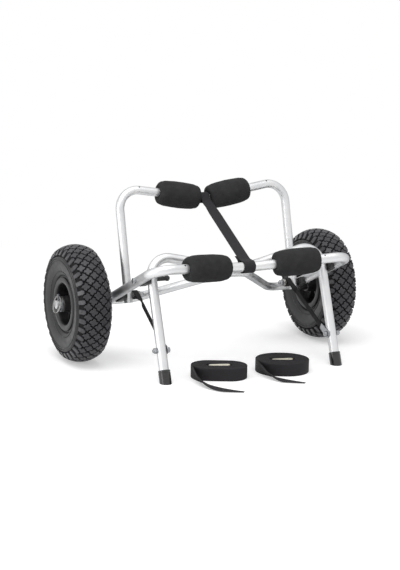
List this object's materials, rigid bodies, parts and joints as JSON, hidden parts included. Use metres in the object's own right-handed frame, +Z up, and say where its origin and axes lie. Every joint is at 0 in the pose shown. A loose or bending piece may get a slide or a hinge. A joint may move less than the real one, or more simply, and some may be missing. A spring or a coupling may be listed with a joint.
{
  "type": "kayak cart",
  "caption": "Folding two-wheeled kayak cart with padded tube frames, a kickstand, balloon tyres and rolled tie-down straps.",
  "frame": {"origin": "on the ground, at the middle of the whole part seen from above", "axes": "+X across the cart along the axle, +Z up, -Y towards the kickstand and the bow pads"},
  "size_m": [0.7216, 0.515, 0.3907],
  "materials": {
    "brushed_tube": "satin anodised tube",
    "bright_steel": "zinc plated",
    "dull_alloy": "as turned",
    "pale_alloy": "cast, lightly polished",
    "black_plastic": "moulded",
    "black_foam": "closed-cell foam",
    "black_rubber": "moulded",
    "tyre_rubber": "moulded tread",
    "black_webbing": "woven webbing"
  },
  "bodies": {
    "front_assembly": {"front_frame": "brushed_tube", "axle_tube": "brushed_tube", "centre_strap_front_loop": "black_webbing", "front_pad_left": "black_foam", "front_pad_right": "black_foam", "axle_washer_left": "bright_steel", "axle_washer_right": "bright_steel", "axle_collar_left": "black_plastic", "axle_collar_right": "black_plastic", "lock_pin_left": "bright_steel", "lock_pin_right": "bright_steel", "rear_pivot_bolt_left": "bright_steel", "rear_pivot_bolt_right": "bright_steel", "rear_pivot_nut_left": "bright_steel", "rear_pivot_nut_right": "bright_steel", "rear_pivot_sleeve_left": "dull_alloy", "rear_pivot_sleeve_right": "dull_alloy", "rear_pivot_block_left": "black_plastic", "rear_pivot_block_right": "black_plastic", "kick_pivot_bolt_left": "bright_steel", "kick_pivot_bolt_right": "bright_steel", "kick_pivot_nut_left": "black_plastic", "kick_pivot_nut_right": "black_plastic", "kick_pivot_sleeve_left": "black_plastic", "kick_pivot_sleeve_right": "black_plastic", "kick_pivot_block_left": "black_plastic", "kick_pivot_block_right": "black_plastic", "stay_loop_left": "black_webbing", "stay_loop_right": "black_webbing"},
    "rear_assembly": {"rear_frame": "brushed_tube", "rear_pad_left": "black_foam", "rear_pad_right": "black_foam", "centre_strap_rear_loop": "black_webbing", "centre_strap_run": "black_webbing"},
    "kickstand_assembly": {"kickstand": "brushed_tube", "foot_cap_left": "black_rubber", "foot_cap_right": "black_rubber", "stay_bolt_left": "bright_steel", "stay_bolt_right": "bright_steel", "stay_nut_left": "bright_steel", "stay_nut_right": "bright_steel", "stay_clip_left": "bright_steel", "stay_clip_right": "bright_steel", "stay_strap_left": "black_webbing", "stay_strap_right": "black_webbing"},
    "wheel_left": {"tyre_left": "tyre_rubber", "wheel_rim_left": "black_plastic", "hub_bush_left": "dull_alloy", "valve_stem_left": "black_rubber"},
    "wheel_right": {"tyre_right": "tyre_rubber", "wheel_rim_right": "black_plastic", "hub_bush_right": "dull_alloy", "valve_stem_right": "black_rubber"},
    "lock_ring_left": {"lock_ring_left": "bright_steel"},
    "lock_ring_right": {"lock_ring_right": "bright_steel"},
    "tie_down_left": {"strap_roll_left": "black_webbing", "cam_buckle_left": "pale_alloy"},
    "tie_down_right": {"strap_roll_right": "black_webbing", "cam_buckle_right": "pale_alloy"}
  },
  "joints": [
    {"name": "rear_frame_fold", "type": "hinge", "parent": "front_assembly", "child": "rear_assembly", "pos_m": [0, 0.07548, 0.15], "axis": [1, 0, 0], "range_deg": [0, 55], "deforming": ["centre_strap_run"]},
    {"name": "kickstand_fold", "type": "hinge", "parent": "front_assembly", "child": "kickstand_assembly", "pos_m": [0, -0.05152, 0.209], "axis": [1, 0, 0], "range_deg": [0, 62], "deforming": ["stay_strap_left", "stay_strap_right"]},
    {"name": "wheel_spin_left", "type": "hinge", "parent": "front_assembly", "child": "wheel_left", "pos_m": [-0.3075, 0.12748, 0.13], "axis": [1, 0, 0], "continuous": true},
    {"name": "wheel_spin_right", "type": "hinge", "parent": "front_assembly", "child": "wheel_right", "pos_m": [0.3075, 0.12748, 0.13], "axis": [1, 0, 0], "continuous": true},
    {"name": "lock_ring_swing_left", "type": "hinge", "parent": "front_assembly", "child": "lock_ring_left", "pos_m": [-0.351, 0.12748, 0.14844], "axis": [0, 1, 0], "range_deg": [0, 140]},
    {"name": "lock_ring_swing_right", "type": "hinge", "parent": "front_assembly", "child": "lock_ring_right", "pos_m": [0.351, 0.12748, 0.14844], "axis": [0, -1, 0], "range_deg": [0, 140]},
    {"name": "tie_down_lift_left", "type": "slide", "parent": "front_assembly", "child": "tie_down_left", "axis": [0, 0, 1], "range_m": [0, 0.15]},
    {"name": "tie_down_lift_right", "type": "slide", "parent": "front_assembly", "child": "tie_down_right", "axis": [0, 0, 1], "range_m": [0, 0.15]}
  ]
}
